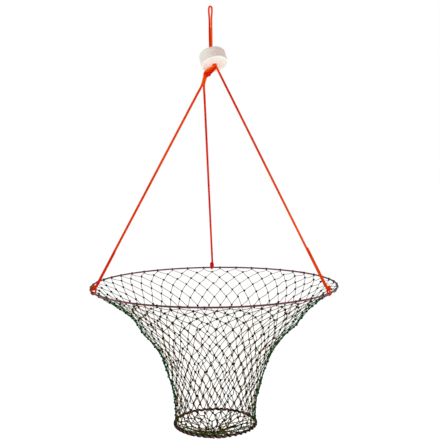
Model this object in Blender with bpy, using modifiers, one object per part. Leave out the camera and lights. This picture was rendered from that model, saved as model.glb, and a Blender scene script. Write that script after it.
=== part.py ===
"""Hanging two-hoop crab net: hoops, netting, cord bridle, foam float and hang loop.

Units are metres, +Z is up. The origin is where a hook bears inside the hang loop,
so the whole net hangs below it. Lengths marked "above the mouth" are measured up
from the plane of the top hoop.
"""

import math

import bmesh
import bpy
from mathutils import Matrix, Vector

OBJECT_NAME = "folding_crab_net"

# Hoops: round rod, centre-line radii
TOP_HOOP_RADIUS = 0.381
BOTTOM_HOOP_RADIUS = 0.1278
ROD_RADIUS = 0.0027
HOOP_DROP = 0.441               # from the top hoop's plane down to the bottom hoop's

# Netting
WAIST_RADIUS = 0.1262           # where the netting leaves the bottom hoop
FLARE_POWER = 2.5               # how late the trumpet opens
TIERS = 6                       # the flexible wall stands as this many telescoping bands
NET_THICKNESS = 0.0015
TOP_TIER_DROP = 0.0055          # the wall starts this far below the top hoop's plane
BASE_SAG = 0.032                # the base netting's centre below the bottom hoop
GATHER_RADIUS = 0.0055

# Cord
CORD_RADIUS = 0.0027
EYE_HALF_WIDTH = 0.0047
THROAT_ABOVE_MOUTH = 0.787      # where the loop's two strands come together
HOOK_ABOVE_MOUTH = 0.850        # where a hook bears inside the loop
TRUNK_RADIUS = 0.0054           # the two strands side by side
BUNDLE_RADII = (0.0042, 0.0068)  # the strands fan out from the hole to the knot
KNOT_RADII = (0.0085, 0.0085, 0.0095)

# Float: a turned foam cylinder that leans on the knot
FLOAT_RADIUS = 0.0405
FLOAT_LENGTH = 0.041
FLOAT_TOP_ROUND = 0.0055
FLOAT_BOTTOM_ROUND = 0.0022
BORE_RADIUS = 0.0062
FLOAT_LEAN = Vector((-0.198, 0.455, 0.868)).normalized()
BEND_ABOVE_MOUTH = 0.7163       # the cord bends here from plumb into the leaning bore
BEND_TO_FLOAT = 0.007

# Bridle: where the legs leave the knot, and where they are hitched to the top hoop
KNOT_FROM_MOUTH = Vector((-0.0175, -0.0180, 0.6470))
SPLIT_FROM_MOUTH = Vector((-0.0264, -0.0210, 0.6140))
LEG_AZIMUTHS = {"left": 200.5, "right": 330.7, "back": 91.2}
TAIL_LENGTHS = {"left": 0.114, "right": 0.125}
HITCH_RISE = 0.021              # how far the hitch's two ends reach up from the rod
HITCH_TURN_RADIUS = 0.0058
HALF_TURN_POINTS = 8

GAP = 0.0003                    # kept between pieces that touch
MERGE = 0.00001

MOUTH_Z = -HOOK_ABOVE_MOUTH
BOTTOM_Z = MOUTH_Z - HOOP_DROP


def clear_scene():
    for obj in list(bpy.data.objects):
        bpy.data.objects.remove(obj, do_unlink=True)


def make_material(name, colour, roughness, metallic=0.0):
    material = bpy.data.materials.new(name)
    material.use_nodes = True
    shader = material.node_tree.nodes["Principled BSDF"]
    shader.inputs["Base Color"].default_value = (*colour, 1.0)
    shader.inputs["Roughness"].default_value = roughness
    shader.inputs["Metallic"].default_value = metallic
    return material


def above_mouth(x, y, height):
    return Vector((x, y, MOUTH_Z + height))


# ---------------------------------------------------------------- shape tools

def turned(name, profile, steps, collection, material, closed=True):
    """A profile of (radius, height) points turned about Z; its outer side runs downwards."""
    mesh = bpy.data.meshes.new(name)
    form = bmesh.new()
    points = [form.verts.new((radius, 0.0, height)) for radius, height in profile]
    for first, second in zip(points, points[1:]):
        form.edges.new((first, second))
    if closed:
        form.edges.new((points[-1], points[0]))
    form.to_mesh(mesh)
    form.free()
    obj = bpy.data.objects.new(name, mesh)
    collection.objects.link(obj)
    screw = obj.modifiers.new("turn", "SCREW")
    screw.axis = "Z"
    screw.angle = math.tau
    screw.steps = steps
    screw.render_steps = steps
    screw.use_merge_vertices = True
    screw.merge_threshold = MERGE
    screw.use_smooth_shade = True
    mesh.materials.append(material)
    return obj


def tube(name, points, radius, collection, material, taper=None, resolution=2):
    """A round cord or wire through the points, with filled ends."""
    curve = bpy.data.curves.new(name, "CURVE")
    curve.dimensions = "3D"
    curve.bevel_depth = radius
    curve.bevel_resolution = resolution
    curve.use_fill_caps = True
    spline = curve.splines.new("POLY")
    spline.points.add(len(points) - 1)
    for index, point in enumerate(points):
        spline.points[index].co = (*point, 1.0)
        spline.points[index].radius = taper[index] if taper else 1.0
    obj = bpy.data.objects.new(name, curve)
    collection.objects.link(obj)
    curve.materials.append(material)
    return obj


def ellipsoid(name, centre, radii, long_axis, collection, material):
    """A round-ended blob whose third radius lies along long_axis."""
    mesh = bpy.data.meshes.new(name)
    form = bmesh.new()
    bmesh.ops.create_uvsphere(form, u_segments=16, v_segments=10, radius=1.0)
    bmesh.ops.scale(form, vec=radii, verts=form.verts)
    form.to_mesh(mesh)
    form.free()
    mesh.shade_smooth()
    obj = bpy.data.objects.new(name, mesh)
    collection.objects.link(obj)
    obj.rotation_euler = long_axis.to_track_quat("Z", "Y").to_euler()
    obj.location = centre
    mesh.materials.append(material)
    return obj


def smooth_route(knots, per_span):
    """Points on a Catmull-Rom curve through the knots."""
    padded = [2 * knots[0] - knots[1], *knots, 2 * knots[-1] - knots[-2]]
    route = []
    for before, start, end, after in zip(padded, padded[1:], padded[2:], padded[3:]):
        for step in range(per_span):
            t = step / per_span
            route.append(
                0.5 * (2 * start + (end - before) * t
                       + (2 * before - 5 * start + 4 * end - after) * t ** 2
                       + (3 * start - before - 3 * end + after) * t ** 3)
            )
    route.append(knots[-1])
    return route


def straight_route(start, end, spans):
    return [start.lerp(end, step / spans) for step in range(spans + 1)]


# ---------------------------------------------------------------- hoops

def hoop(name, radius, height, steps, collection, material):
    """A welded ring of rod whose eight-sided section has a flat at its lowest side."""
    profile = []
    for side in range(8):
        angle = math.radians(67.5 - 45 * side)
        profile.append((radius + ROD_RADIUS * math.cos(angle), height + ROD_RADIUS * math.sin(angle)))
    return turned(name, profile, steps, collection, material)


# ---------------------------------------------------------------- netting

def wall_radius(drop):
    """Radius of the netting at a drop below the mouth: a trumpet that opens upwards."""
    rise = 1.0 - drop / HOOP_DROP
    return WAIST_RADIUS + (TOP_HOOP_RADIUS - WAIST_RADIUS) * rise ** FLARE_POWER


def tier_ends():
    """(top drop, top radius, bottom drop, bottom radius) of each telescoping band."""
    tier_height = HOOP_DROP / TIERS
    hoop_clearance = BOTTOM_HOOP_RADIUS + ROD_RADIUS + NET_THICKNESS / 2 + 3 * GAP
    hitch_reach = HITCH_TURN_RADIUS + CORD_RADIUS + NET_THICKNESS / 2 + 2 * GAP
    ends = []
    for tier in range(TIERS):
        top = max(tier * tier_height, TOP_TIER_DROP)
        bottom = (tier + 1) * tier_height
        if tier:
            top_radius = ends[-1][3] - NET_THICKNESS - 2 * GAP
        else:
            top_radius = TOP_HOOP_RADIUS - hitch_reach
        if tier < TIERS - 1:
            bottom_radius = max(wall_radius(bottom), hoop_clearance)
        else:
            bottom -= ROD_RADIUS + 2 * GAP
            bottom_radius = WAIST_RADIUS
        ends.append((top, top_radius, bottom, bottom_radius))
    return ends


def wall_netting(collection, material):
    half = NET_THICKNESS / 2
    for index, (top, top_radius, bottom, bottom_radius) in enumerate(tier_ends()):
        profile = [
            (top_radius + half, MOUTH_Z - top),
            (bottom_radius + half, MOUTH_Z - bottom),
            (bottom_radius - half, MOUTH_Z - bottom),
            (top_radius - half, MOUTH_Z - top),
        ]
        turned(f"wall_netting_{index + 1}", profile, 48, collection, material)


def base_netting(collection, material):
    """The shallow net cone under the bottom hoop, and the tie that gathers its centre."""
    rim_z = BOTTOM_Z - ROD_RADIUS - GAP
    centre_z = BOTTOM_Z - BASE_SAG
    hole = GATHER_RADIUS + GAP
    profile = [
        (BOTTOM_HOOP_RADIUS, rim_z),
        (BOTTOM_HOOP_RADIUS, rim_z - NET_THICKNESS),
        (hole, centre_z - NET_THICKNESS),
        (hole, centre_z),
    ]
    turned("base_netting", profile, 48, collection, material)
    centre = Vector((0.0, 0.0, centre_z - NET_THICKNESS / 2))
    radii = (GATHER_RADIUS, GATHER_RADIUS, GATHER_RADIUS * 1.5)
    ellipsoid("base_gather_knot", centre, radii, Vector((0, 0, 1)), collection, material)


# ---------------------------------------------------------------- cord above the bridle

def hang_loop(collection, material):
    """The eye that hangs on a hook: an open-ended bight whose strands meet at the throat."""
    throat = MOUTH_Z + THROAT_ABOVE_MOUTH + TRUNK_RADIUS + GAP
    strand = CORD_RADIUS + GAP
    half = [
        Vector((-strand, 0, throat)),
        Vector((-strand, 0, -0.046)),
        Vector((-0.0034, 0, -0.031)),
        Vector((-0.0042, 0, -0.019)),
        Vector((-EYE_HALF_WIDTH, 0, -0.008)),
        Vector((0, 0, CORD_RADIUS)),
    ]
    other_half = [Vector((-point.x, 0, point.z)) for point in reversed(half[:-1])]
    tube("hang_loop", smooth_route(half + other_half, 5), CORD_RADIUS, collection, material)


def float_places():
    """The bend of the cord above the float, and the centre of the float's underside."""
    bend = above_mouth(0, 0, BEND_ABOVE_MOUTH)
    return bend, bend - FLOAT_LEAN * (BEND_TO_FLOAT + FLOAT_LENGTH)


def trunk_cord(collection, material):
    """The doubled cord from the loop's throat down through the float, round at its top end."""
    bend, underside = float_places()
    throat = above_mouth(0, 0, THROAT_ABOVE_MOUTH)
    up = Vector((0, 0, 1))
    dome = [(1.0, 0.05), (0.87, 0.5), (0.5, 0.866), (0.0, 1.0)]
    points = [throat + up * (TRUNK_RADIUS * rise) for rise, _ in dome]
    taper = [width for _, width in dome]
    corner = [bend + up * 0.005, bend, bend - FLOAT_LEAN * 0.004]
    run = straight_route(throat - up * 0.006, bend + up * 0.012, 5)
    run += smooth_route([bend + up * 0.008, *corner], 3)
    run += straight_route(bend - FLOAT_LEAN * 0.006, underside - FLOAT_LEAN * 0.001, 5)
    tube("trunk_cord", points + run, TRUNK_RADIUS, collection, material, taper + [1.0] * len(run))


def foam_float(collection, material):
    """A bored foam cylinder, softer at its upper edge, leaning with its bore."""
    top, low, bore, outer = FLOAT_LENGTH, 0.0, BORE_RADIUS, FLOAT_RADIUS
    profile = [(bore, top), (outer - FLOAT_TOP_ROUND, top)]
    for step in range(1, 4):
        angle = math.radians(90 - 30 * step)
        profile.append((outer - FLOAT_TOP_ROUND * (1 - math.cos(angle)),
                        top - FLOAT_TOP_ROUND * (1 - math.sin(angle))))
    profile.append((outer, low + FLOAT_BOTTOM_ROUND))
    profile.append((outer - FLOAT_BOTTOM_ROUND, low))
    profile.append((bore, low))
    obj = turned("float", profile, 40, collection, material)
    obj.rotation_euler = FLOAT_LEAN.to_track_quat("Z", "Y").to_euler()
    obj.location = float_places()[1]


def bundle_and_knot(collection, material):
    """The strands from the float's hole to the knot, the knot, and its short cut end."""
    _, underside = float_places()
    knot = above_mouth(*KNOT_FROM_MOUTH)
    start = underside - FLOAT_LEAN * (0.001 + GAP)
    elbow = start - FLOAT_LEAN * 0.0075
    along = (knot - elbow).normalized()
    bend = [start - FLOAT_LEAN * 0.0035, elbow + along * 0.0025, elbow + along * 0.0085]
    end = knot - along * (KNOT_RADII[2] + GAP)
    route = [start] + smooth_route(bend, 3) + [end]
    hole_radius, knot_radius = BUNDLE_RADII
    reach = (end - start).length
    taper = [1 + (knot_radius / hole_radius - 1) * (point - start).length / reach for point in route]
    tube("bundle_cord", route, hole_radius, collection, material, taper)
    ellipsoid("bridle_knot", knot, KNOT_RADII, along, collection, material)
    tail_start = knot + Vector((0.0090, -0.0050, -0.0045))
    tail_end = tail_start + Vector((0.0085, -0.0015, -0.0020))
    tube("knot_tail", straight_route(tail_start, tail_end, 2), CORD_RADIUS, collection, material)


# ---------------------------------------------------------------- bridle legs

def hitch_frame(side):
    """Rod centre at a leg's hitch, and axes: along the rod, up the leg, and across it."""
    azimuth = math.radians(LEG_AZIMUTHS[side])
    centre = above_mouth(TOP_HOOP_RADIUS * math.cos(azimuth), TOP_HOOP_RADIUS * math.sin(azimuth), 0)
    along_rod = Vector((-math.sin(azimuth), math.cos(azimuth), 0))
    towards = leg_top(side) - centre
    up_leg = (towards - along_rod * towards.dot(along_rod)).normalized()
    return centre, along_rod, up_leg, along_rod.cross(up_leg)


def leg_top(side):
    """Where a leg ends: the left and back legs at the split, the right one at the float's hole."""
    if side == "right":
        _, underside = float_places()
        across = (Vector((1, 0, 0)) - FLOAT_LEAN * FLOAT_LEAN.x).normalized()
        return underside - FLOAT_LEAN * 0.0022 + across * (BUNDLE_RADII[0] + CORD_RADIUS + 3 * GAP)
    return above_mouth(*SPLIT_FROM_MOUTH)


def hitch(side, collection, material):
    """The cord passed round the rod: down one side of it, under, and up the other."""
    centre, along_rod, up_leg, across = hitch_frame(side)
    strand = CORD_RADIUS + GAP

    def place(rod, up, over):
        return centre + along_rod * rod + up_leg * up + across * over

    last_bend = HITCH_RISE - 0.003
    route = [place(-strand, HITCH_RISE, 0), place(-strand, last_bend, 0)]
    route.append(place(-strand, HITCH_RISE * 0.45, HITCH_TURN_RADIUS * 0.8))
    for step in range(HALF_TURN_POINTS + 1):
        angle = math.pi * step / HALF_TURN_POINTS
        rod = strand * (2 * step / HALF_TURN_POINTS - 1)
        route.append(place(rod, -HITCH_TURN_RADIUS * math.sin(angle), HITCH_TURN_RADIUS * math.cos(angle)))
    route.append(place(strand, HITCH_RISE * 0.45, -HITCH_TURN_RADIUS * 0.8))
    route += [place(strand, last_bend, 0), place(strand, HITCH_RISE, 0)]
    tube(f"hitch_{side}", route, CORD_RADIUS, collection, material)


def leg(side, collection, material):
    """A taut bridle leg, and beside its lower stretch the tail that comes back up from the hitch."""
    centre, along_rod, up_leg, _ = hitch_frame(side)
    strand = CORD_RADIUS + GAP
    foot = centre + up_leg * (HITCH_RISE + 2 * GAP)
    top = leg_top(side)
    if side == "right":
        route = straight_route(foot - along_rod * strand, top, 12)
    else:
        knot = above_mouth(*KNOT_FROM_MOUTH)
        down = (top - knot).normalized()
        apart = Vector((-strand if side == "left" else strand, 0, 0))
        start = knot + down * (KNOT_RADII[2] + 0.0012) + apart
        leg_line = straight_route(foot - along_rod * strand, top + apart, 11)
        route = leg_line[:-1] + smooth_route([leg_line[-2].lerp(leg_line[-1], 0.8), top + apart, start], 4)[1:]
    tube(f"leg_{side}", route, CORD_RADIUS, collection, material)
    if side in TAIL_LENGTHS:
        direction = (route[1] - route[0]).normalized()
        start = route[0] + along_rod * (2 * strand)
        end = start + direction * TAIL_LENGTHS[side]
        tube(f"leg_tail_{side}", straight_route(start, end, 4), CORD_RADIUS, collection, material)


def build():
    clear_scene()
    parts = bpy.data.collections.new(OBJECT_NAME)
    bpy.context.scene.collection.children.link(parts)
    rod = make_material("coated_rod", (0.16, 0.05, 0.09), 0.45)
    twine = make_material("green_twine", (0.03, 0.07, 0.04), 0.85)
    cord = make_material("orange_cord", (0.80, 0.10, 0.02), 0.7)
    foam = make_material("white_foam", (0.85, 0.82, 0.78), 0.8)

    hoop("top_hoop", TOP_HOOP_RADIUS, MOUTH_Z, 72, parts, rod)
    hoop("bottom_hoop", BOTTOM_HOOP_RADIUS, BOTTOM_Z, 48, parts, rod)
    wall_netting(parts, twine)
    base_netting(parts, twine)
    hang_loop(parts, cord)
    trunk_cord(parts, cord)
    foam_float(parts, foam)
    bundle_and_knot(parts, cord)
    for side in LEG_AZIMUTHS:
        hitch(side, parts, cord)
        leg(side, parts, cord)


build()
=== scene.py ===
import math

import bpy
import numpy as np
from mathutils import Matrix, Vector


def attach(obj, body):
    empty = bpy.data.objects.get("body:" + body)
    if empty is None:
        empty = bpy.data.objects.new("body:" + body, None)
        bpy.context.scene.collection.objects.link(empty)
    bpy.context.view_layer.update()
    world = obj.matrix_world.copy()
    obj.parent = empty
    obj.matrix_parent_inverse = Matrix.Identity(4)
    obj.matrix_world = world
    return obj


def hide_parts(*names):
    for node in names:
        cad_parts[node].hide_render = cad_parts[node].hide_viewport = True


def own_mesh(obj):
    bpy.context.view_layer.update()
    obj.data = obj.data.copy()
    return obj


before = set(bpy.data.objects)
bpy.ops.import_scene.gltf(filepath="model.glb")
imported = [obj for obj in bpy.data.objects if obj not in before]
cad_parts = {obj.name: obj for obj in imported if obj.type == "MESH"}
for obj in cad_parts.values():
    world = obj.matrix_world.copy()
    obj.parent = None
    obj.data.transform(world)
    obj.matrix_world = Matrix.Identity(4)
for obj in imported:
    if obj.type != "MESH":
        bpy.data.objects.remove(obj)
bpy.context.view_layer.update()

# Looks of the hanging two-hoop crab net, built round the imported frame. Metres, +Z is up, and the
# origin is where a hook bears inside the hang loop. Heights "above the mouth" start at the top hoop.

# Places and sizes that the CAD model has too
TOP_HOOP_RADIUS = 0.381
BOTTOM_HOOP_RADIUS = 0.1278
ROD_RADIUS = 0.0027
HOOP_DROP = 0.441
MOUTH_Z = -0.850
BOTTOM_Z = MOUTH_Z - HOOP_DROP
CORD_RADIUS = 0.0027
CORD_SPACING = 0.0030
HINGE_Z = -0.063
KNOT_LONG_RADIUS = 0.0095
FLOAT_RADIUS = 0.0405
FLOAT_LENGTH = 0.041
BORE_RADIUS = 0.0062
LEAN = np.array([-0.198, 0.455, 0.868])
LEAN /= np.linalg.norm(LEAN)
BEND = np.array([0.0, 0.0, MOUTH_Z + 0.7163])
UNDERSIDE = BEND - LEAN * (0.007 + FLOAT_LENGTH)
KNOT = np.array([-0.0175, -0.0180, MOUTH_Z + 0.6470])
SPLIT = np.array([-0.0264, -0.0210, MOUTH_Z + 0.6140])
LEG_AZIMUTHS = {"left": 200.5, "right": 330.7, "back": 91.2}
TAIL_LENGTHS = {"left": 0.114, "right": 0.125}
HITCH_RISE = 0.021

# Welded laps of the two hoops, which the photo doesn't show
LAP_AZIMUTH = 38.0
HALF_LAP = 0.011

# Cords, as thick as they look in the photo
LOOP_RADIUS = 0.0028
TRUNK_RADIUS = 0.0030
LEG_RADII = {"left": 0.0036, "right": 0.0033, "back": 0.0034}
TAIL_RADIUS = 0.0031
KNOT_CORD_RADIUS = 0.0026
RING_STEP = 0.0008                              # from one ring of a cord's tube to the next
LOOP_SHIFT = np.array([-0.0015, 0.0, 0.0])      # how far to the left the loop hangs
PAIR = np.array([0.0030, -0.0010, 0.0])         # half the offset of the loop's two strands below its eye
EYE_HALF_WIDTH = 0.0046

# Hitches: half the space between their two sides, radius of the cord passed under the rod, and of the
# wrapped knot its radius, how far out from the leg it sits, its lower end and its number of turns
HITCH_TURN_RADIUS = 0.0050
HITCHES = {
    "left": (CORD_SPACING, 0.0022, 0.0054, 0.0038, 0.0092, 2.6),
    "right": (CORD_SPACING, 0.0022, 0.0054, 0.0042, 0.0086, 2.7),
    "back": (0.0014, KNOT_CORD_RADIUS, 0.0047, 0.0, 0.0056, 3.4),
}
HITCH_KNOT_TOP = 0.0202

# Tones of the cords, from deep red (0) to orange (1), set by place as painted shade and light: deep red
# stands for stretches in shade, as on the back leg, and orange for lit ones. Each is (first, last) along
# a cord, or pairs of (share of the way, tone)
LEG_TONES = {
    "left": ((0, 1.0), (0.08, 0.45), (1, 0.40)),
    "back": ((0, 0.9), (0.08, 0.15), (1, 0.0)),
    "right": ((0, 0.8), (0.08, 0.10), (0.80, 0.80), (0.86, 0.40), (1, 0.30)),
}
TAIL_TONES = {"left": (0.15, 0.15), "right": (1.2, 1.2)}
HITCH_TONES = {"left": (0.55, 0.10), "right": (0.60, 0.05), "back": (0.05, 0.0)}

# Netting
MESHES_ROUND = 42
MESH_ROWS = 19
TWINE_RADIUS = 0.0010
KNOT_TWINE_RADIUS = TWINE_RADIUS * 2.4
WALL_KNOT, BASE_KNOT, RIM_KNOT = 0.0040, 0.0037, 0.0021     # their radii
BASE_BAR_RADIUS = 0.00135
LASHING_RADIUS = 0.0013
LOOSE_TWINE_RADIUS = 0.0012
BAR_LENGTH = 0.0385
FIRST_ROW = 0.0216                  # how far the first row of knots is from the top hoop
TAUT_ROWS = 5
JOINED_ROWS = range(6, 15)          # each of these rows takes two meshes into one knot
LOWEST_STEP = 0.0235
FIRST_KNOT_AZIMUTH = 91.0
FOLDS = ((0.003, 192, 0.298), (0.006, 348, 0.318))      # slack folds: how far out, azimuth, height
FOLD_DEGREES, FOLD_HEIGHT = 14, 0.021                   # how far they spread round and up
BASE_MESHES = 21
BASE_SAG = 0.0335
GATHER = np.array([-0.0067, 0.0, BOTTOM_Z - BASE_SAG])
# (height above the bottom hoop, radius, sideways lean of the section's centre)
NET_PROFILE = [
    (0.441, 0.3800, 0.000), (0.415, 0.3425, 0.001), (0.390, 0.3100, 0.004), (0.360, 0.2760, 0.007),
    (0.330, 0.2515, 0.009), (0.300, 0.2270, 0.004), (0.260, 0.1940, 0.005), (0.220, 0.1710, 0.005),
    (0.180, 0.1560, 0.003), (0.120, 0.1390, 0.002), (0.060, 0.1270, 0.000), (0.002, 0.1270, 0.000),
]

UP = np.array([0.0, 0.0, 1.0])
AMBIENT = 0.45          # the brightness of the surroundings as the object is lit by them
rng = np.random.default_rng(7)


# ---------------------------------------------------------------- camera, floor and lights

def link_object(name, data):
    obj = bpy.data.objects.new(name, data)
    bpy.context.scene.collection.objects.link(obj)
    return obj


def make_camera():
    data = bpy.data.cameras.new("camera")
    data.sensor_width = 36.0
    data.lens = 62.1
    data.shift_x = 0.0155
    data.clip_start = 0.05
    data.clip_end = 80.0
    camera = link_object("camera", data)
    camera.matrix_world = (
        Matrix.Translation((0.0, -2.35, -0.4694))
        @ Matrix.Rotation(math.radians(90.0 - 4.36), 4, "X")
        @ Matrix.Rotation(math.radians(-0.647), 4, "Z")
    )
    bpy.context.scene.camera = camera


def make_light(name, place, target, size, energy, colour):
    data = bpy.data.lights.new(name, "AREA")
    data.shape = "DISK"
    data.size = size
    data.energy = energy
    data.color = colour
    light = link_object(name, data)
    light.location = place
    light.rotation_euler = (Vector(target) - Vector(place)).to_track_quat("-Z", "Y").to_euler()


def make_stage():
    """White surroundings, a pale floor well below the hanging net, and two soft lights."""
    scene = bpy.context.scene
    scene.view_settings.view_transform = "Standard"
    world = bpy.data.worlds.new("studio")
    scene.world = world
    world.use_nodes = True
    tree = world.node_tree
    background = tree.nodes["Background"]
    background.inputs["Color"].default_value = (1.0, 1.0, 1.0, 1.0)
    seen = add_node(tree, "ShaderNodeLightPath").outputs["Is Camera Ray"]
    strength = add_node(tree, "ShaderNodeMath", {"operation": "MULTIPLY_ADD"},
                        i0=seen, i1=1.0 - AMBIENT, i2=AMBIENT)
    tree.links.new(strength.outputs[0], background.inputs["Strength"])
    make_light("key", (1.6, -2.2, 1.2), (0, 0, -0.6), 1.2, 18.0, (1.0, 0.97, 0.93))
    make_light("fill", (-2.4, -1.6, 0.2), (0, 0, -0.8), 1.6, 8.0, (0.95, 0.97, 1.0))
    mesh = bpy.data.meshes.new("floor")
    reach = 30.0
    height = BOTTOM_Z - 0.30
    mesh.from_pydata([(-reach, -reach, height), (reach, -reach, height), (reach, reach, height),
                      (-reach, reach, height)], [], [(0, 1, 2, 3)])
    floor = link_object("floor", mesh)
    material, shader, _ = new_material("pale_floor", (0.90, 0.90, 0.89), 0.9)
    shader.inputs["Emission Color"].default_value = (1.0, 1.0, 1.0, 1.0)
    shader.inputs["Emission Strength"].default_value = 0.62
    mesh.materials.append(material)


# ---------------------------------------------------------------- materials

def new_material(name, colour, roughness):
    material = bpy.data.materials.new(name)
    material.use_nodes = True
    tree = material.node_tree
    shader = tree.nodes["Principled BSDF"]
    shader.inputs["Base Color"].default_value = (*colour, 1.0)
    shader.inputs["Roughness"].default_value = roughness
    return material, shader, tree


def add_node(tree, kind, settings=None, **links):
    """A node with plain settings, and its inputs set to a value or linked to an output."""
    node = tree.nodes.new(kind)
    for key, value in (settings or {}).items():
        setattr(node, key, value)
    for key, value in links.items():
        name = key.replace("_", " ")
        target = node.inputs[int(key[1:])] if key[0] == "i" and key[1:].isdigit() else node.inputs[name]
        if isinstance(value, bpy.types.NodeSocket):
            tree.links.new(value, target)
        else:
            target.default_value = value
    return node


def mixed(tree, factor, first, second):
    node = add_node(tree, "ShaderNodeMix", {"data_type": "RGBA"})
    for socket, value in ((node.inputs[0], factor), (node.inputs[6], first), (node.inputs[7], second)):
        if isinstance(value, bpy.types.NodeSocket):
            tree.links.new(value, socket)
        elif isinstance(value, tuple):
            socket.default_value = (*value, 1.0)
        else:
            socket.default_value = value
    return node.outputs[2]


def arithmetic(tree, operation, first, second=0.0):
    return add_node(tree, "ShaderNodeMath", {"operation": operation}, i0=first, i1=second).outputs[0]


def tone_of(tree):
    return add_node(tree, "ShaderNodeAttribute", {"attribute_name": "tone"}).outputs["Fac"]


def noise_of(tree, scale, detail=3.0):
    place = add_node(tree, "ShaderNodeTexCoord").outputs["Object"]
    noise = add_node(tree, "ShaderNodeTexNoise", None, Scale=scale, Detail=detail, Vector=place)
    return noise.outputs["Fac"]


def ranged(tree, value, low, high, to_low, to_high):
    node = add_node(tree, "ShaderNodeMapRange", None, Value=value)
    for name, number in (("From Min", low), ("From Max", high), ("To Min", to_low), ("To Max", to_high)):
        node.inputs[name].default_value = number
    return node.outputs[0]


def bump(tree, shader, height, strength, distance):
    node = add_node(tree, "ShaderNodeBump", None, Strength=strength, Distance=distance, Height=height)
    tree.links.new(node.outputs["Normal"], shader.inputs["Normal"])


def lay_phase(tree):
    """The two lay coordinates of a strand, from its UV map: turns one way and turns the other way."""
    place = add_node(tree, "ShaderNodeUVMap").outputs["UV"]
    return add_node(tree, "ShaderNodeSeparateXYZ", None, Vector=place).outputs


def strand_height(tree, turns):
    """Height across the strands of a plait, from 0 between two strands to 1 on top of one."""
    wave = arithmetic(tree, "SINE", arithmetic(tree, "MULTIPLY", turns, math.pi))
    return arithmetic(tree, "ABSOLUTE", wave)


def twine_material():
    """Green twine, stained brown. Tone 0 is near black, 1 stained and 2 clean green."""
    material, shader, tree = new_material("green_twine", (0.01, 0.05, 0.02), 0.75)
    ply = arithmetic(tree, "SINE", arithmetic(tree, "MULTIPLY", lay_phase(tree)[0], math.tau))
    blotch = noise_of(tree, 16.0)
    fresh = arithmetic(tree, "MAXIMUM", arithmetic(tree, "SUBTRACT", tone_of(tree), 1.0))
    stain = arithmetic(tree, "SUBTRACT", ranged(tree, blotch, 0.28, 0.44, 0.0, 1.0), fresh)
    stained = mixed(tree, stain, (0.002, 0.125, 0.036), (0.240, 0.125, 0.008))
    green = mixed(tree, tone_of(tree), (0.003, 0.010, 0.003), stained)
    shaded = mixed(tree, ranged(tree, ply, -1.0, -0.3, 0.45, 0.0), green, (0.001, 0.005, 0.002))
    tree.links.new(shaded, shader.inputs["Base Color"])
    tree.links.new(ranged(tree, blotch, 0.3, 0.7, 0.62, 0.85), shader.inputs["Roughness"])
    shader.inputs["Specular IOR Level"].default_value = 0.03
    bump(tree, shader, ply, 0.6, 0.0003)
    return material


def cord_material():
    """Plaited cord, from deep red at tone 0 to orange at tone 1, the tone standing for painted shade; it
    also glows a little, as painted light.
    """
    material, shader, tree = new_material("orange_cord", (0.75, 0.06, 0.01), 0.6)
    one_way, other_way = lay_phase(tree)[:2]
    plait = arithmetic(tree, "MULTIPLY", strand_height(tree, one_way), strand_height(tree, other_way))
    uneven = ranged(tree, noise_of(tree, 9.0), 0.35, 0.65, -0.18, 0.18)
    # the tone, which carries painted shade, with small changes of colour at random
    tone_with_painted_shade = ranged(tree, arithmetic(tree, "ADD", tone_of(tree), uneven), 0.0, 1.0, 0.0, 1.0)
    base = mixed(tree, tone_with_painted_shade, (0.640, 0.004, 0.001), (0.960, 0.105, 0.001))
    fibre = noise_of(tree, 320.0, 4.0)
    bright = mixed(tree, ranged(tree, fibre, 0.5, 0.75, 0.0, 0.25), base, (0.98, 0.16, 0.01))
    shaded = mixed(tree, ranged(tree, plait, 0.0, 0.35, 0.45, 0.0), bright, (0.36, 0.003, 0.001))
    tree.links.new(shaded, shader.inputs["Base Color"])
    # a faint glow in the cord's own colour: painted light that brightens it, though it is no lamp
    tree.links.new(shaded, shader.inputs["Emission Color"])
    shader.inputs["Emission Strength"].default_value = 0.12
    tree.links.new(ranged(tree, fibre, 0.3, 0.7, 0.5, 0.75), shader.inputs["Roughness"])
    shader.inputs["Specular IOR Level"].default_value = 0.01
    height = arithmetic(tree, "ADD", plait, arithmetic(tree, "MULTIPLY", fibre, 0.4))
    bump(tree, shader, height, 0.5, 0.0004)
    return material


def rod_material():
    """Purple-brown coating with lighter patches and specks of grime."""
    material, shader, tree = new_material("coated_rod", (0.14, 0.03, 0.055), 0.35)
    patches = ranged(tree, noise_of(tree, 6.0), 0.35, 0.65, 0.0, 1.0)
    grime = noise_of(tree, 130.0, 5.0)
    coat = mixed(tree, patches, (0.070, 0.003, 0.018), (0.230, 0.040, 0.080))
    worn = mixed(tree, ranged(tree, grime, 0.56, 0.75, 0.0, 0.5), coat, (0.030, 0.016, 0.018))
    tree.links.new(worn, shader.inputs["Base Color"])
    tree.links.new(ranged(tree, grime, 0.3, 0.7, 0.28, 0.5), shader.inputs["Roughness"])
    bump(tree, shader, grime, 0.25, 0.0003)
    return material


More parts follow.
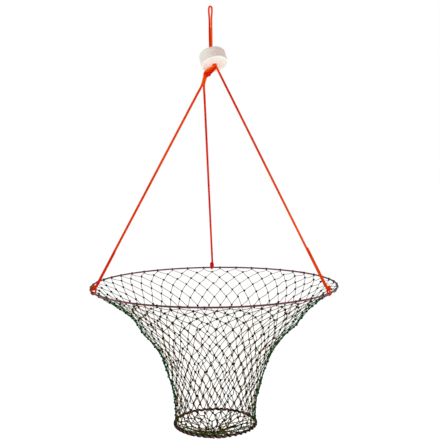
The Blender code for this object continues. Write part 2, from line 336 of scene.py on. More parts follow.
def foam_material():
    """Foam: tone 0 is a cut face, 1 the greyer moulded side, its grey partly painted shade, and -1 the
    palest, a painted highlight.
    """
    material, shader, tree = new_material("white_foam", (0.86, 0.82, 0.74), 0.85)
    cells = add_node(tree, "ShaderNodeTexVoronoi", None, Scale=620.0)
    tree.links.new(add_node(tree, "ShaderNodeTexCoord").outputs["Object"], cells.inputs["Vector"])
    marks = noise_of(tree, 38.0, 4.0)
    cloudy = noise_of(tree, 20.0, 2.0)
    skin = mixed(tree, tone_of(tree), (0.93, 0.87, 0.77), (0.80, 0.65, 0.615))
    soiled = mixed(tree, ranged(tree, marks, 0.55, 0.80, 0.0, 0.22), skin, (0.62, 0.50, 0.42))
    lifted = mixed(tree, ranged(tree, cloudy, 0.35, 0.65, 0.0, 0.12), soiled, (0.93, 0.89, 0.82))
    # a tone below 0 blends towards near white: painted light on the left of the side, and a painted
    # highlight along the lower rim
    clean = mixed(tree, ranged(tree, tone_of(tree), -1.0, 0.0, 1.0, 0.0), lifted, (0.98, 0.96, 0.91))
    tree.links.new(clean, shader.inputs["Base Color"])
    shader.inputs["Subsurface Weight"].default_value = 0.15
    shader.inputs["Subsurface Scale"].default_value = 0.004
    shader.inputs["Sheen Weight"].default_value = 0.1
    height = arithmetic(tree, "ADD", cells.outputs["Distance"], arithmetic(tree, "MULTIPLY", marks, 1.5))
    bump(tree, shader, height, 0.2, 0.0005)
    return material


# ---------------------------------------------------------------- mesh building

def unit(vectors):
    return vectors / np.linalg.norm(vectors, axis=-1, keepdims=True)


def polar(radius, degrees, height):
    """Points round the plumb axis."""
    angle = np.radians(degrees)
    return np.stack(np.broadcast_arrays(radius * np.cos(angle), radius * np.sin(angle), height), -1)


def smooth_route(knots, per_span):
    """Points on a Catmull-Rom curve through the knots."""
    knots = [np.asarray(knot, float) for knot in knots]
    padded = [2 * knots[0] - knots[1], *knots, 2 * knots[-1] - knots[-2]]
    route = []
    for before, start, end, after in zip(padded, padded[1:], padded[2:], padded[3:]):
        for t in np.arange(per_span) / per_span:
            route.append(0.5 * (2 * start + (end - before) * t
                                + (2 * before - 5 * start + 4 * end - after) * t ** 2
                                + (3 * start - before - 3 * end + after) * t ** 3))
    route.append(knots[-1])
    return np.array(route)


def evenly(route, spacing):
    """The same route with points an even spacing apart."""
    steps = np.linalg.norm(np.diff(route, axis=0), axis=1)
    along = np.concatenate([[0.0], np.cumsum(steps)])
    places = np.linspace(0.0, along[-1], max(2, int(round(along[-1] / spacing)) + 1))
    return np.stack([np.interp(places, along, route[:, axis]) for axis in range(3)], -1)


def sweep(paths, radius, sides, reference, relief=None, closed=False, lay=(2, 0.006), tone=0.5):
    """Tubes along paths (count, points, 3), capped unless closed, as one block of mesh data.

    lay is (strands, length of one turn): it sets the UV map's two lay coordinates. tone is one
    number, one for each path, or one for each point of each path."""
    paths = np.asarray(paths, float)
    if paths.ndim == 2:
        paths = paths[None]
    count, points = paths.shape[:2]
    if closed:
        ahead = np.roll(paths, -1, 1) - np.roll(paths, 1, 1)
    else:
        ahead = np.gradient(paths, axis=1)
    tangent = unit(ahead)
    normal = np.empty_like(paths)
    current = np.broadcast_to(np.asarray(reference, float), (count, 3)).copy()
    for k in range(points):
        facing = (current * tangent[:, k]).sum(-1, keepdims=True)
        current = unit(current - facing * tangent[:, k])
        normal[:, k] = current
    binormal = np.cross(tangent, normal)
    if closed:
        first, second = (current * normal[:, 0]).sum(-1), (current * binormal[:, 0]).sum(-1)
        turn = -np.arctan2(second, first)[:, None] * np.arange(points) / points
        cosine, sine = np.cos(turn)[..., None], np.sin(turn)[..., None]
        normal, binormal = cosine * normal + sine * binormal, cosine * binormal - sine * normal
    steps = np.linalg.norm(np.diff(paths, axis=1), axis=-1)
    along = np.concatenate([np.zeros((count, 1)), np.cumsum(steps, 1)], 1)
    around = np.arange(sides) * math.tau / sides
    reach = np.broadcast_to(radius, (count, points))[:, :, None] * np.ones(sides)
    if relief is not None:
        reach = reach * relief(around[None, None, :], along[:, :, None])
    ring = normal[:, :, None] * np.cos(around)[:, None] + binormal[:, :, None] * np.sin(around)[:, None]
    vertices = (paths[:, :, None] + reach[..., None] * ring).reshape(-1, 3)

    spans = points if closed else points - 1
    strand, k, s = np.meshgrid(np.arange(count), np.arange(spans), np.arange(sides), indexing="ij")
    strand, k, s = strand.ravel(), k.ravel(), s.ravel()

    def index(k, s):
        return (strand * points + k % points) * sides + s % sides

    quads = np.stack([index(k, s), index(k, s + 1), index(k + 1, s + 1), index(k + 1, s)], 1)
    strands, turn_length = lay
    if closed:
        along = np.concatenate([along, along[:, -1:] + steps[:, :1]], 1)
    places = []
    for kk, ss in ((k, s), (k, s + 1), (k + 1, s + 1), (k + 1, s)):
        turns = strands * ss / sides
        travel = along[strand, kk] * strands / turn_length
        places.append(np.stack([turns + travel, turns - travel], -1))
    uv = np.stack(places, 1)
    caps = np.empty((0, sides), int)
    if not closed:
        start = np.arange(count)[:, None] * points * sides
        rims = np.arange(sides)
        caps = np.concatenate([start + rims[::-1], start + (points - 1) * sides + rims])
    tone = np.asarray(tone, float)
    if tone.ndim < 2:
        tone = tone.reshape(-1, 1)
    tones = np.repeat(np.broadcast_to(tone, (count, points)), sides)
    return vertices, quads, caps, uv, tones


def make_piece(name, blocks, material, body, replaced=()):
    """One smooth mesh object from blocks of mesh data, riding on a body."""
    vertices, faces, uv, tones, base = [], [], [], [], 0
    for block_vertices, quads, caps, block_uv, block_tones in blocks:
        faces += (quads + base).tolist() + (caps + base).tolist()
        uv += [block_uv.reshape(-1, 2), np.zeros((caps.size, 2))]
        vertices.append(block_vertices)
        tones.append(block_tones)
        base += len(block_vertices)
    mesh = bpy.data.meshes.new(name)
    mesh.from_pydata(np.concatenate(vertices).tolist(), [], faces)
    mesh.uv_layers.new(name="lay").data.foreach_set("uv", np.concatenate(uv).astype(np.float32).ravel())
    attribute = mesh.attributes.new("tone", "FLOAT", "POINT")
    attribute.data.foreach_set("value", np.concatenate(tones).astype(np.float32))
    mesh.shade_smooth()
    mesh.materials.append(material)
    obj = link_object(name, mesh)
    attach(obj, body)
    if replaced:
        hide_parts(*replaced)
    return obj


# ---------------------------------------------------------------- orange cord

PLAIT_STRANDS = 8
PLAIT_TURN = 0.020
CORD_SIDES = 24


def plait_relief(around, along):
    """Height of a round plaited cord: strands winding both ways, each over the other in turn."""
    one_way = PLAIT_STRANDS * (around / math.tau + along / PLAIT_TURN)
    other_way = PLAIT_STRANDS * (around / math.tau - along / PLAIT_TURN)
    over = (np.floor(one_way) + np.floor(other_way)) % 2
    height = np.where(over > 0, np.abs(np.sin(math.pi * one_way)), np.abs(np.sin(math.pi * other_way)))
    return 0.94 + 0.09 * height


def cord_block(route, tones, radius=CORD_RADIUS, reference=(0.13, -0.97, 0.21)):
    """A plaited cord along a route. tones is (first, last), or pairs of (share of the way, tone)."""
    fine = evenly(np.asarray(route, float), RING_STEP)
    places, values = ((0.0, 1.0), tones) if len(tones) == 2 else zip(*tones)
    tone = np.interp(np.linspace(0, 1, len(fine)), places, values)[None]
    return sweep(fine, radius, CORD_SIDES, reference, plait_relief, lay=(PLAIT_STRANDS, PLAIT_TURN),
                 tone=tone)


def cord_piece(name, route, tones, body, replaced, material, radius):
    """A limp cord that hangs taut along its route, as a piece."""
    piece = make_piece(name, [cord_block(route, tones, radius)], material, body, replaced)
    return piece


def hitch_frame(side):
    """Rod centre at a leg's hitch, and axes: along the rod, up the leg, and across it."""
    azimuth = LEG_AZIMUTHS[side]
    centre = polar(TOP_HOOP_RADIUS, azimuth, MOUTH_Z)
    along_rod = polar(1.0, azimuth + 90.0, 0.0)
    towards = leg_top(side) - centre
    up_leg = unit(towards - along_rod * (towards @ along_rod))
    return centre, along_rod, up_leg, np.cross(along_rod, up_leg)


def leg_top(side):
    """Where a leg's straight stretch starts: at the rim of the float's hole, or below the knot."""
    if side == "right":
        across = unit(np.array([1.0, 0.0, 0.0]) - LEAN * LEAN[0])
        return UNDERSIDE - LEAN * 0.0022 + across * 0.0066
    return SPLIT


def leg_route(side):
    """From the apex down to the hitch: the right leg from the float's hole, the others from the knot."""
    centre, along_rod, up_leg, _ = hitch_frame(side)
    foot = centre + up_leg * (HITCH_RISE + 0.0006) - along_rod * CORD_SPACING
    top = leg_top(side)
    if side == "right":
        hole = UNDERSIDE + np.array([0.0030, 0.0, 0.0])
        return np.concatenate([smooth_route([hole, hole - LEAN * 0.004 + (foot - hole) * 0.004,
                                             hole - LEAN * 0.005 + (foot - hole) * 0.02], 6), [foot]])
    apart = np.array([-CORD_SPACING if side == "left" else CORD_SPACING, 0.0, 0.0])
    start = KNOT + unit(top - KNOT) * (KNOT_LONG_RADIUS + 0.0012) + apart
    top = top + apart
    return np.concatenate([smooth_route([start, top, top + (foot - top) * 0.05], 6), [foot]])


def slacken(piece):
    """Give a cord its own copy of its mesh."""
    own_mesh(piece)


def make_legs(material):
    """The three taut legs, and the two tails that come back up beside them."""
    for side in LEG_AZIMUTHS:
        route = leg_route(side)
        leg = cord_piece(f"leg_{side}_cord", route, LEG_TONES[side], "top_hoop", (f"leg_{side}",),
                         material, LEG_RADII[side])
        slacken(leg)
        if side in TAIL_LENGTHS:
            _, along_rod, _, _ = hitch_frame(side)
            start = route[-1] + along_rod * (2 * CORD_SPACING)
            end = start + unit(route[-2] - route[-1]) * TAIL_LENGTHS[side]
            tail = cord_piece(f"leg_tail_{side}_cord", np.array([start, end]), TAIL_TONES[side],
                              "top_hoop", (f"leg_tail_{side}",), material, TAIL_RADIUS)
            slacken(tail)


def make_hitches(material):
    """The cord passed under the rod at each leg's foot, with a small wrapped knot above the rod."""
    for side in LEG_AZIMUTHS:
        centre, along_rod, up_leg, across = hitch_frame(side)
        apart, pass_radius, size, out, low, count = HITCHES[side]

        def place(rod, up, over):
            return centre + along_rod * (rod + apart - CORD_SPACING) + up_leg * up + across * over

        wrap = HITCH_TURN_RADIUS
        knots = [place(-apart, HITCH_RISE, 0), place(-apart, HITCH_RISE - 0.003, 0),
                 place(-apart, HITCH_RISE * 0.45, wrap * 0.8)]
        for angle in np.linspace(0, math.pi, 9):
            rod = apart * (2 * angle / math.pi - 1)
            knots.append(place(rod, -wrap * math.sin(angle), wrap * math.cos(angle)))
        knots += [place(apart, HITCH_RISE * 0.45, -wrap * 0.8), place(apart, HITCH_RISE - 0.003, 0),
                  place(apart, HITCH_RISE, 0)]
        tones = HITCH_TONES[side]
        passed = cord_block(smooth_route(knots, 5), tones, pass_radius, along_rod)

        turns = []
        for share in np.linspace(0, 1, 110):
            angle = share * count * math.tau
            up = low + (HITCH_KNOT_TOP - low) * share
            turns.append(place(size * math.cos(angle), up, out + 0.85 * size * math.sin(angle)))
        wrapped = cord_block(np.array(turns), tones[::-1], KNOT_CORD_RADIUS, up_leg)
        make_piece(f"hitch_{side}_cord", [passed, wrapped], material, "top_hoop",
                   (f"hitch_{side}",))


def make_hang_loop(material):
    """The eye that hangs on a hook, with its two strands side by side below."""
    half = [(-PAIR[0], -PAIR[1], HINGE_Z), (-PAIR[0], -PAIR[1], -0.057), (-0.0031, -0.0006, -0.042),
            (-0.0034, 0, -0.030), (-EYE_HALF_WIDTH, 0, -0.014), (-EYE_HALF_WIDTH, 0, -0.005),
            (-0.74 * EYE_HALF_WIDTH, 0, 0.0006), (0, 0, CORD_RADIUS)]
    other_half = [(-x, -y, z) for x, y, z in reversed(half[:-1])]
    route = evenly(smooth_route(half + other_half, 8) + LOOP_SHIFT, 0.001)
    cord_piece("hang_loop_cord", route, (-0.1, 1.0), "loop", ("hang_loop",),
               material, LOOP_RADIUS)


def make_trunk(material):
    """The loop's two strands going on side by side, through the float's bore."""
    bottom = UNDERSIDE - LEAN * 0.001
    across = unit(PAIR - LEAN * (LEAN @ PAIR)) * np.linalg.norm(PAIR)
    for name, side, tones in (("trunk_left_cord", -1, (-0.1, 0.1)), ("trunk_right_cord", 1, (1.0, 0.7))):
        above = side * PAIR + LOOP_SHIFT
        closer = above + side * np.array([-0.0005, -0.0009, 0.0])
        line = [UP * HINGE_Z + above, UP * (HINGE_Z - 0.02) + above,
                BEND + UP * 0.012 + closer, BEND + UP * 0.003 + closer - LOOP_SHIFT * 0.2,
                BEND - LEAN * 0.005 + side * across + LOOP_SHIFT * 0.4,
                BEND - LEAN * 0.015 + side * across, bottom + side * across]
        route = smooth_route(line, 8)
        replaced = ("trunk_cord",) if side < 0 else ()
        cord_piece(name, route, tones, "bridle", replaced, material, TRUNK_RADIUS)


def make_bundle_and_knot(material):
    """Four strands that fan out from the float's hole to the knot, the knot's turns, and its cut end."""
    start = UNDERSIDE - LEAN * 0.0005
    elbow = start - LEAN * 0.0075
    along = unit(KNOT - elbow)
    side = unit(np.cross(along, np.array([0.0, -1.0, 0.0])))
    front = np.cross(side, along)
    down = unit(SPLIT - KNOT)
    blocks = []
    for offset, depth, tones in ((-1.5, 0.0, (0.0, 0.1)), (-0.5, 0.0016, (0.1, 0.2)),
                                 (0.5, 0.0004, (0.5, 0.6)), (1.5, 0.0012, (0.8, 1.2))):
        spread = side * offset * 0.0050 + front * depth
        route = smooth_route([start + LEAN * 0.004 + spread * 0.2, start + spread * 0.25,
                              elbow + spread * 0.5, KNOT - along * 0.010 + spread,
                              KNOT + spread * 0.85 + down * 0.002,
                              KNOT + down * 0.0125 + spread * 0.5], 8)
        blocks.append(cord_block(route, tones, 0.0025))
    make_piece("bundle_cords", blocks, material, "bridle", ("bundle_cord",))

    turns = []
    sweep_angle = 1.8 * math.tau
    for angle in np.linspace(0.3, sweep_angle, 80):
        share = angle / sweep_angle
        turns.append(KNOT + along * (share - 0.42) * 0.0115 + side * (0.0068 * math.cos(angle) - 0.0020)
                     + front * 0.0060 * math.sin(angle))
    wrapped = cord_block(np.array(turns), (0.05, 0.6), reference=along)
    make_piece("bridle_knot_cord", [wrapped], material, "bridle", ("bridle_knot",))
    tail_start = KNOT + np.array([0.0050, -0.0055, -0.0020])
    tail = smooth_route([tail_start, tail_start + [0.0050, -0.0010, -0.0016],
                         tail_start + [0.0098, -0.0012, -0.0030]], 8)
    make_piece("knot_tail_cord", [cord_block(tail, (0.0, 0.1))], material, "bridle",
               ("knot_tail",))


# ---------------------------------------------------------------- float

def rounded(across, up, size, first, last, count):
    """Places (radius, height) on the arc of a rounded edge, whose centre is at (across, up)."""
    angles = np.radians(np.linspace(first, last, count))
    return [(across + size * math.cos(angle), up + size * math.sin(angle)) for angle in angles]


def float_profile():
    """(radius, height) round the float's section: bore, underside, side and upper face."""
    top_round, low_round, bore_round = 0.0068, 0.0026, 0.0012
    underside = np.linspace(BORE_RADIUS + 0.003, FLOAT_RADIUS - low_round - 0.002, 10)
    side = np.linspace(0.005, FLOAT_LENGTH - top_round - 0.001, 12)
    upper_face = np.linspace(FLOAT_RADIUS - top_round - 0.002, BORE_RADIUS + 0.003, 8)
    return np.array([
        *rounded(BORE_RADIUS + bore_round, bore_round, bore_round, 180, 270, 5),
        *((radius, 0.0) for radius in underside),
        *rounded(FLOAT_RADIUS - low_round, low_round, low_round, 270, 360, 8),
        *((FLOAT_RADIUS, height) for height in side),
        *rounded(FLOAT_RADIUS - top_round, FLOAT_LENGTH - top_round, top_round, 0, 90, 10),
        *((radius, FLOAT_LENGTH) for radius in upper_face),
        *rounded(BORE_RADIUS + bore_round, FLOAT_LENGTH - bore_round, bore_round, 90, 180, 5),
    ])


def make_float(material):
    """A turned foam cylinder with a soft upper edge, a crisper lower rim and small dents."""
    profile = float_profile()
    rows, steps = len(profile), 128
    azimuth = np.arange(steps) * math.tau / steps
    radius = profile[:, 0][:, None] * np.ones(steps)
    height = profile[:, 1][:, None] * np.ones(steps)
    outer = radius / FLOAT_RADIUS
    draws = rng.uniform(0, math.tau, (6, 2))
    for number, (first, second) in enumerate(draws, start=1):
        ripple = np.sin(number * azimuth + first) * np.cos(90 * number * height + second)
        radius = radius + outer ** 4 * 0.00022 * ripple
        ripple = np.cos(number * azimuth + second) * np.sin(170 * radius + first)
        height = height + outer * 0.00018 * ripple
    # small dents, pressed in where the float has been knocked: (place round it, height, depth)
    for place, level, depth in ((3.9, 0.022, 0.0007), (4.9, 0.010, 0.0005), (5.6, 0.029, 0.0006),
                                (1.1, 0.018, 0.0008), (2.4, 0.030, 0.0006)):
        aside = np.angle(np.exp(1j * (azimuth - place))) * FLOAT_RADIUS / 0.006
        away = aside ** 2 + ((height - level) / 0.004) ** 2
        radius = radius - depth * np.exp(-away) * (outer > 0.9)
    local = np.stack([radius * np.cos(azimuth), radius * np.sin(azimuth), height], -1)
    turn = np.array(Vector(LEAN).to_track_quat("Z", "Y").to_matrix())
    turned = local @ turn.T
    vertices = (turned + UNDERSIDE).reshape(-1, 3)
    k, s = np.meshgrid(np.arange(rows), np.arange(steps), indexing="ij")
    k, s = k.ravel(), s.ravel()

    def index(k, s):
        return (k % rows) * steps + s % steps

    quads = np.stack([index(k, s), index(k, s + 1), index(k + 1, s + 1), index(k + 1, s)], 1)
    # the moulded side is greyer than the two cut faces, and painted light and shade run across it, pale
    # on the left to pink-grey on the right, turning with the float; the lower rim is a paler painted
    # highlight
    out, up = profile.T
    on_side = np.clip((out - FLOAT_RADIUS + 0.0012) / 0.0010, 0, 1) * (up > 0.004)
    rim_highlight = np.clip((out - FLOAT_RADIUS + 0.0040) / 0.0015, 0, 1) * np.clip((0.0048 - up) / 0.0012, 0, 1)
    side_painted_shade = np.clip(0.85 + 1.45 * turned[..., 0] / FLOAT_RADIUS, -0.45, 1.0)
    tones = 0.15 + on_side[:, None] * (side_painted_shade - 0.15) - rim_highlight[:, None]
    block = (vertices, quads, np.empty((0, 4), int), np.zeros((len(quads), 4, 2)), tones.ravel())
    piece = make_piece("foam_float", [block], material, "float", ("float",))


# ---------------------------------------------------------------- hoops

def make_hoops(material):
    """Each hoop is one bent rod, and its name is also its body's and its node's."""
    for name, radius, height, steps in (("top_hoop", TOP_HOOP_RADIUS, MOUTH_Z, 300),
                                        ("bottom_hoop", BOTTOM_HOOP_RADIUS, BOTTOM_Z, 160)):
        ring = polar(radius, np.arange(steps) * 360.0 / steps, height)
        blocks = [sweep(ring, ROD_RADIUS, 16, UP, closed=True)]
        # the welded lap, a short thicker stretch of the same coating
        lap = LAP_AZIMUTH + np.degrees(np.linspace(-HALF_LAP, HALF_LAP, 15) / radius)
        swell = ROD_RADIUS * (1.0 + 0.22 * np.cos(np.linspace(-math.pi / 2, math.pi / 2, 15)))
        blocks.append(sweep(polar(radius, lap, height), swell, 16, UP))
        make_piece(f"{name}_rod", blocks, material, name, (name,))


# ---------------------------------------------------------------- netting

def meridian():
    """Arc length down the net from the top hoop, with the radius, height and lean at each place."""
    knots = [(radius, BOTTOM_Z + height, lean) for height, radius, lean in NET_PROFILE]
    points = smooth_route(knots, 24)
    along = np.concatenate([[0.0], np.cumsum(np.linalg.norm(np.diff(points[:, :2], axis=0), axis=1))])
    return along, points


def row_places(along, points):
    """How far down the net each row of knots lies: taut bars near the mouth, smaller meshes below."""
    rows = [0.0, FIRST_ROW]
    while len(rows) <= TAUT_ROWS:
        step = 0.7 * BAR_LENGTH
        for _ in range(4):
            half_width = math.pi * np.interp(rows[-1] + step / 2, along, points[:, 0]) / MESHES_ROUND
            step = math.sqrt(BAR_LENGTH ** 2 - half_width ** 2)
        rows.append(rows[-1] + step)
    left = MESH_ROWS - TAUT_ROWS
    rest = along[-1] - rows[-1]
    steps = np.linspace(2 * rest / left - LOWEST_STEP, LOWEST_STEP, left)
    return np.append(rows, rows[-1] + np.cumsum(steps))


def waves(angle, share, count, most_round, most_down):
    """Smooth uneven waves round and down the net, about 1 in size."""
    total = 0.0
    for _ in range(count):
        lobes, rise = rng.integers(1, most_round + 1), rng.uniform(0.3, most_down)
        size = rng.normal()
        phase = rise * math.tau * share + rng.uniform(0, math.tau)
        total = total + size * np.sin(lobes * angle + phase)
    return total / math.sqrt(count)


def spread_round(degrees, amount=1.0):
    """Azimuths of knots: meshes are wider at the front than at the sides."""
    turn = np.radians(degrees - 270.0)
    return degrees + amount * np.degrees(0.07 * np.sin(turn) + 0.05 * np.sin(2 * turn))


def net_plan():
    """Each knot's row and azimuth, and the knots that each bar joins: (row, azimuth, starts, ends).

    A knot has two bars going down, and where two meshes are taken into one knot it has four coming in,
    so the net narrows as it goes down."""
    azimuths = [FIRST_KNOT_AZIMUTH + (np.arange(MESHES_ROUND) - 0.5) * 360 / MESHES_ROUND]
    starts, ends, first = [], [], 0
    for row in range(1, MESH_ROWS + 1):
        above = azimuths[-1]
        count = len(above)
        joined = np.zeros(count, int)
        if row in JOINED_ROWS:
            joined[1 + int(count * ((0.382 * row + 0.05) % 1)) % (count - 1)] = 1
        lower = np.arange(count) - np.cumsum(joined)
        between = (above + np.append(above[1:], above[0] + 360)) / 2
        natural = np.bincount(lower, between) / np.bincount(lower)
        even = np.arange(len(natural)) * 360 / len(natural)
        even += (natural - even).mean()
        azimuths.append(natural + 0.35 * (even - natural))
        knots = np.arange(count)
        for below in (lower, np.roll(lower, 1)):
            starts.append(first + knots)
            ends.append(first + count + below)
        first += count
    row_of = np.repeat(np.arange(MESH_ROWS + 1), [len(azimuth) for azimuth in azimuths])
    return row_of, np.concatenate(azimuths), starts, ends


def net_nodes():
    """Places of the knots, their rows, and the bars: (places, row of each, starts, ends, longest bars).

    Uneven sideways waves open some meshes and close others; then the bars pull too long ones in."""
    along, points = meridian()
    rows = row_places(along, points)
    row, degrees, starts, ends = net_plan()
    share = rows[row] / rows[-1]
    degrees = spread_round(degrees, 1 - 1.5 * share)
    angle = np.radians(degrees)
    loose = np.clip(np.minimum(row / 5.0, (MESH_ROWS - row) / 5.0), 0, 1)
    sideways = loose * (0.0060 * waves(angle, share, 12, 8, 4.0) + 0.0014 * rng.normal(size=angle.shape))
    outward = loose * (0.0025 * waves(angle, share, 9, 6, 2.5) + 0.0010 * rng.normal(size=angle.shape))
    down = loose * (0.0040 * waves(angle, share, 9, 9, 3.0) + 0.0016 * rng.normal(size=angle.shape))
    place = rows[row] + down
    for size, azimuth, level in FOLDS:
        aside = (degrees % 360 - azimuth) / FOLD_DEGREES
        above = (np.interp(place, along, points[:, 1]) - BOTTOM_Z - level) / FOLD_HEIGHT
        outward += size * np.exp(-aside ** 2 - above ** 2)

    def draped(angle, height):
        """Knots laid on the net's trumpet shape."""
        radius = np.interp(-height, -points[:, 1], points[:, 0]) + outward
        lean = np.interp(-height, -points[:, 1], points[:, 2])
        return np.stack([radius * np.cos(angle) + lean, radius * np.sin(angle), height], -1)

    height = np.interp(place, along, points[:, 1])
    nodes = draped(angle + sideways / np.interp(place, along, points[:, 0]), height)
    top = polar(TOP_HOOP_RADIUS, degrees[row == 0], MOUTH_Z - ROD_RADIUS - 0.0014)
    bottom = polar(BOTTOM_HOOP_RADIUS, degrees[row == MESH_ROWS], BOTTOM_Z + ROD_RADIUS + 0.0004)
    middle = (rows[1:] + rows[:-1]) / 2
    half_width = math.pi * np.interp(middle, along, points[:, 0]) / np.bincount(row)[:-1]
    longest = np.minimum(BAR_LENGTH, 1.07 * np.hypot(np.diff(rows), half_width))
    for _ in range(50):
        nodes[row == 0], nodes[row == MESH_ROWS] = top, bottom
        for start, end in zip(starts, ends):
            limit = longest[row[start[0]]]
            bar = nodes[end] - nodes[start]
            length = np.linalg.norm(bar, axis=1, keepdims=True)
            wrong = np.clip(length - limit, 0, None) - np.clip(0.66 * limit - length, 0, None)
            pull = bar / length * wrong * 0.45
            nodes[start] += pull
            np.add.at(nodes, end, -pull)
        lean = np.interp(-nodes[:, 2], -points[:, 1], points[:, 2])
        nodes = draped(np.arctan2(nodes[:, 1], nodes[:, 0] - lean), nodes[:, 2])
    nodes[row == 0], nodes[row == MESH_ROWS] = top, bottom
    starts, ends = np.concatenate(starts), np.concatenate(ends)
    return nodes, row, starts, ends, longest[row[starts]]


def bars_between(upper, lower, upper_is_even):
    """(starts, ends) of the two bars from each knot of a row to the next row."""
    other = np.roll(lower, 1 if upper_is_even else -1, axis=0)
    return np.concatenate([upper, upper]), np.concatenate([lower, other])


def bar_paths(starts, ends, slack, longest):
    """Bars of twine between their knots: the shorter the way, the more a bar bows and bends."""
    t = np.linspace(0, 1, 8)[None, :, None]
    count = len(starts)
    chord = np.linalg.norm(ends - starts, axis=1, keepdims=True)
    shorter = np.clip(np.reshape(longest, (-1, 1)) - chord, 0, 0.004)
    spare = 0.0007 + 0.45 * np.sqrt(0.375 * chord * shorter)
    radial = unit((starts + ends) * [1, 1, 0])
    tangential = np.cross(UP, radial)
    bow = tangential * rng.normal(0, 0.8, (count, 1)) + radial * rng.normal(0, 0.4, (count, 1))
    bow = (bow - UP * np.abs(rng.normal(0.4, 0.3, (count, 1)))) * spare * slack
    snake = tangential * rng.normal(0, 0.4, (count, 1)) + UP * rng.normal(0, 0.2, (count, 1))
    snake = snake * spare * slack
    line = starts[:, None] * (1 - t) + ends[:, None] * t
    return line + bow[:, None] * 4 * t * (1 - t) + snake[:, None] * np.sin(math.tau * t), radial


def knot_template(size, twine):
    """A small tight knot of twine as one closed tube."""
    t = np.arange(26) * math.tau / 26
    x, y, z = np.sin(t) + 2 * np.sin(2 * t), np.cos(t) - 2 * np.cos(2 * t), -1.3 * np.sin(3 * t)
    return np.stack([x, y, z], -1) * (size - twine) / 3.0


def random_turns(count):
    """Rotation matrices spread evenly over all turns."""
    w, x, y, z = unit(rng.normal(size=(count, 4))).T
    return np.stack([
        np.stack([1 - 2 * (y * y + z * z), 2 * (x * y - w * z), 2 * (x * z + w * y)], -1),
        np.stack([2 * (x * y + w * z), 1 - 2 * (x * x + z * z), 2 * (y * z - w * x)], -1),
        np.stack([2 * (x * z - w * y), 2 * (y * z + w * x), 1 - 2 * (x * x + y * y)], -1)], -2)


def knots_block(places, size, tone):
    """A knot at each place, each turned its own way."""
    template = knot_template(size, KNOT_TWINE_RADIUS)
    scale = rng.uniform(0.88, 1.15, (len(places), 1, 1))
    paths = np.einsum("bij,nj->bni", random_turns(len(places)), template) * scale + places[:, None]
    reference = unit(rng.normal(size=(len(places), 3)))
    return sweep(paths, KNOT_TWINE_RADIUS, 7, reference, closed=True, tone=tone)


def bars_block(starts, ends, slack, tone, radius, longest=BAR_LENGTH):
    """A tube of twine for each bar."""
    paths, radial = bar_paths(starts, ends, slack, longest)
    return sweep(paths, radius, 6, radial, tone=tone)


def row_tones(count, base):
    """A slightly uneven tone for each strand or knot: 0 is near black, 1 stained, 2 clean green."""
    return np.clip(base + rng.normal(0, 0.12, count), 0, 2)


def make_wall_net(net, material):
    """The wall netting in six lengths, so that each stands for one band of the CAD wall."""
    nodes, row_of, starts, ends, longest = net
    edges = np.round(np.linspace(0, MESH_ROWS, 7)).astype(int)
    for part in range(6):
        blocks = []
        for row in range(edges[part], edges[part + 1]):
            share = row / MESH_ROWS
            bars = row_of[starts] == row
            upper, lower = nodes[starts[bars]], nodes[ends[bars]]
            outwards = unit((upper + lower) * [1, 1, 0])
            # the two flanks are clean green and a little thinner, and the rest stained
            flank = np.clip((np.abs(outwards[:, 0]) - 0.75 - 0.20 * share) / 0.03, 0, 1)
            flank = flank * (outwards[:, 1] < 0.3)
            tones = row_tones(len(upper), (0.85 - 0.30 * share) * (1 - flank) + 2.0 * flank)
            radius = TWINE_RADIUS * (0.92 + 0.38 * share) * (1 - 0.16 * flank[:, None])
            blocks.append(bars_block(upper, lower, 1.0, tones, radius, longest[bars]))
            if row:
                knots = nodes[row_of == row]
                blocks.append(knots_block(knots, WALL_KNOT, row_tones(len(knots), 0.0)))
        piece = make_piece(f"net_wall_{part + 1}", blocks, material, "top_hoop",
                           (f"wall_netting_{part + 1}",))
        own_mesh(piece)


def round_rod(hoop_radius, height, degrees, turns, reach, pitch, points):
    """Paths that wind round a hoop's rod, each centred on one of the azimuths."""
    phase = np.linspace(-turns * math.pi, turns * math.pi, points)[None, :] - math.pi / 2
    drift = (phase + math.pi / 2) / math.tau * pitch / hoop_radius
    angle = np.radians(degrees)[:, None] + drift
    radius = hoop_radius + reach * np.cos(phase)
    level = height + reach * np.sin(phase) + 0 * angle
    return np.stack([radius * np.cos(angle), radius * np.sin(angle), level], -1)


def make_rod_hitches(nodes, material):
    """The twine hitches that hold the net's top row to the top hoop."""
    degrees = spread_round(FIRST_KNOT_AZIMUTH + (np.arange(MESHES_ROUND) - 0.5) * 360 / MESHES_ROUND)
    thin = TWINE_RADIUS * 0.75
    paths = round_rod(TOP_HOOP_RADIUS, MOUTH_Z, degrees, 1.5, ROD_RADIUS + thin * 0.8, 0.0030, 28)
    blocks = [sweep(paths, thin, 6, UP, tone=row_tones(MESHES_ROUND, 0.3)),
              knots_block(nodes[:MESHES_ROUND], RIM_KNOT, row_tones(MESHES_ROUND, 0.15))]
    make_piece("net_rod_hitches", blocks, material, "top_hoop")


def make_bottom_lashing(material):
    """The spiral lashing of three twines that binds the net's lower row to the bottom hoop."""
    steps = MESHES_ROUND * 16
    blocks = []
    for strand in range(3):
        turn = np.arange(steps) / steps
        phase = math.tau * MESHES_ROUND * turn
        shift = math.radians(FIRST_KNOT_AZIMUTH) + (strand - 1) * 0.0026 / BOTTOM_HOOP_RADIUS
        angle = math.tau * turn + shift
        reach = ROD_RADIUS + 0.0012
        radius = BOTTOM_HOOP_RADIUS + reach * np.cos(phase)
        height = BOTTOM_Z - reach * np.sin(phase)
        path = np.stack([radius * np.cos(angle), radius * np.sin(angle), height], -1)
        blocks.append(sweep(path, LASHING_RADIUS, 8, UP, closed=True, tone=0.05 * strand))
    make_piece("bottom_hoop_lashing", blocks, material, "bottom_hoop")


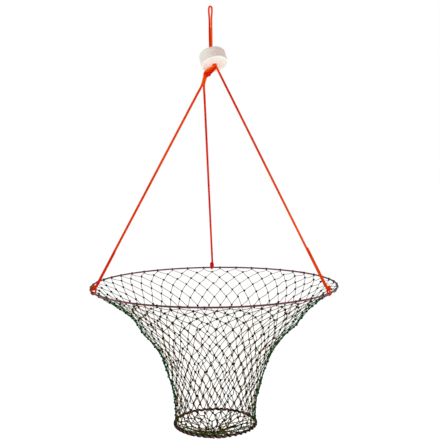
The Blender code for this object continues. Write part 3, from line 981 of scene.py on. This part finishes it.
def make_base_net(material):
    """The netting across the bottom hoop, drawn together at its middle."""
    radii = [BOTTOM_HOOP_RADIUS - 0.0008, 0.096, 0.061, 0.024]
    pitch = 360.0 / BASE_MESHES
    rows = []
    for row, radius in enumerate(radii):
        degrees = FIRST_KNOT_AZIMUTH + (np.arange(BASE_MESHES) + 0.5 * (row % 2) - 0.5) * pitch
        share = 1 - radius / BOTTOM_HOOP_RADIUS
        wobble = (row > 0) * rng.normal(0, 1.0, (3, BASE_MESHES))
        angle = np.radians(degrees + 2.0 * wobble[0])
        spread = radius + 0.0045 * wobble[1]
        height = BOTTOM_Z - 0.001 * (row == 0) - BASE_SAG * share ** 0.9 + 0.0022 * wobble[2]
        x, y = spread * np.cos(angle) + GATHER[0] * share, spread * np.sin(angle)
        rows.append(np.stack([x, y, height], -1))
    blocks = []
    for row in range(len(rows) - 1):
        starts, ends = bars_between(rows[row], rows[row + 1], row % 2 == 0)
        front = (starts + ends)[:, 1] / 2 < -0.02
        tones = row_tones(len(starts), 0.4 + 1.5 * front)
        blocks.append(bars_block(starts, ends, 1.6, tones, BASE_BAR_RADIUS))
        blocks.append(knots_block(rows[row + 1], BASE_KNOT, row_tones(BASE_MESHES, 0.05)))
    finish = GATHER + rng.normal(0, 0.0014, (BASE_MESHES, 3)) * [1, 1, 0.8]
    blocks.append(bars_block(rows[-1], finish, 0.6, row_tones(BASE_MESHES, 0.3), LOOSE_TWINE_RADIUS))
    # spare netting drawn together along the inside of the hoop, on the front and left
    along = np.linspace(0, 1, 60)
    for strand in range(9):
        start, stop = 196 + rng.uniform(-8, 12), 272 + rng.uniform(-22, 14)
        depth = 0.0055 + 0.0085 * rng.uniform()
        depth = depth + 0.0022 * np.sin(math.tau * (rng.uniform(2, 4) * along + rng.uniform()))
        ends_in = 0.0075 * np.clip(1 - np.minimum(along, 1 - along) / 0.10, 0, 1)
        radius = BOTTOM_HOOP_RADIUS - ROD_RADIUS - np.clip(depth - ends_in, 0.0015, None)
        drop = 0.0040 * np.sin(math.tau * (rng.uniform(1, 3) * along + rng.uniform())) - 0.0035
        path = polar(radius, start + (stop - start) * along, BOTTOM_Z + drop)
        blocks.append(sweep(path, LOOSE_TWINE_RADIUS, 7, UP, tone=rng.uniform(1.85, 2.0)))
    make_piece("net_base", blocks, material, "bottom_hoop", ("base_netting",))

    turns = []
    for angle in np.linspace(0, 3.2 * math.tau, 90):
        turns.append(GATHER + np.array([0.0040 * math.cos(angle), 0.0040 * math.sin(angle),
                                        -0.0045 + 0.0026 * angle / math.tau]))
    tie = sweep(np.array(turns), LASHING_RADIUS, 8, UP, tone=0.35)
    ends = []
    for side in (-1, 1):
        end = smooth_route([GATHER + [0.002 * side, 0.001, -0.003],
                            GATHER + [0.006 * side, 0.002 * side, -0.007],
                            GATHER + [0.008 * side, -0.002, -0.0085]], 6)
        ends.append(sweep(end, LOOSE_TWINE_RADIUS, 8, UP, tone=0.4))
    core = knots_block(np.array([GATHER, GATHER + UP * 0.003, GATHER - UP * 0.003]), WALL_KNOT, 0.3)
    make_piece("base_gather_tie", [tie, core, *ends], material, "bottom_hoop",
               ("base_gather_knot",))


# ---------------------------------------------------------------- the whole

def build():
    make_camera()
    cord = cord_material()
    make_hang_loop(cord)
    make_trunk(cord)
    make_legs(cord)
    make_hitches(cord)
    make_bundle_and_knot(cord)
    make_stage()
    make_float(foam_material())
    make_hoops(rod_material())
    twine = twine_material()
    net = net_nodes()
    make_wall_net(net, twine)
    make_rod_hitches(net[0], twine)
    make_bottom_lashing(twine)
    make_base_net(twine)


build()
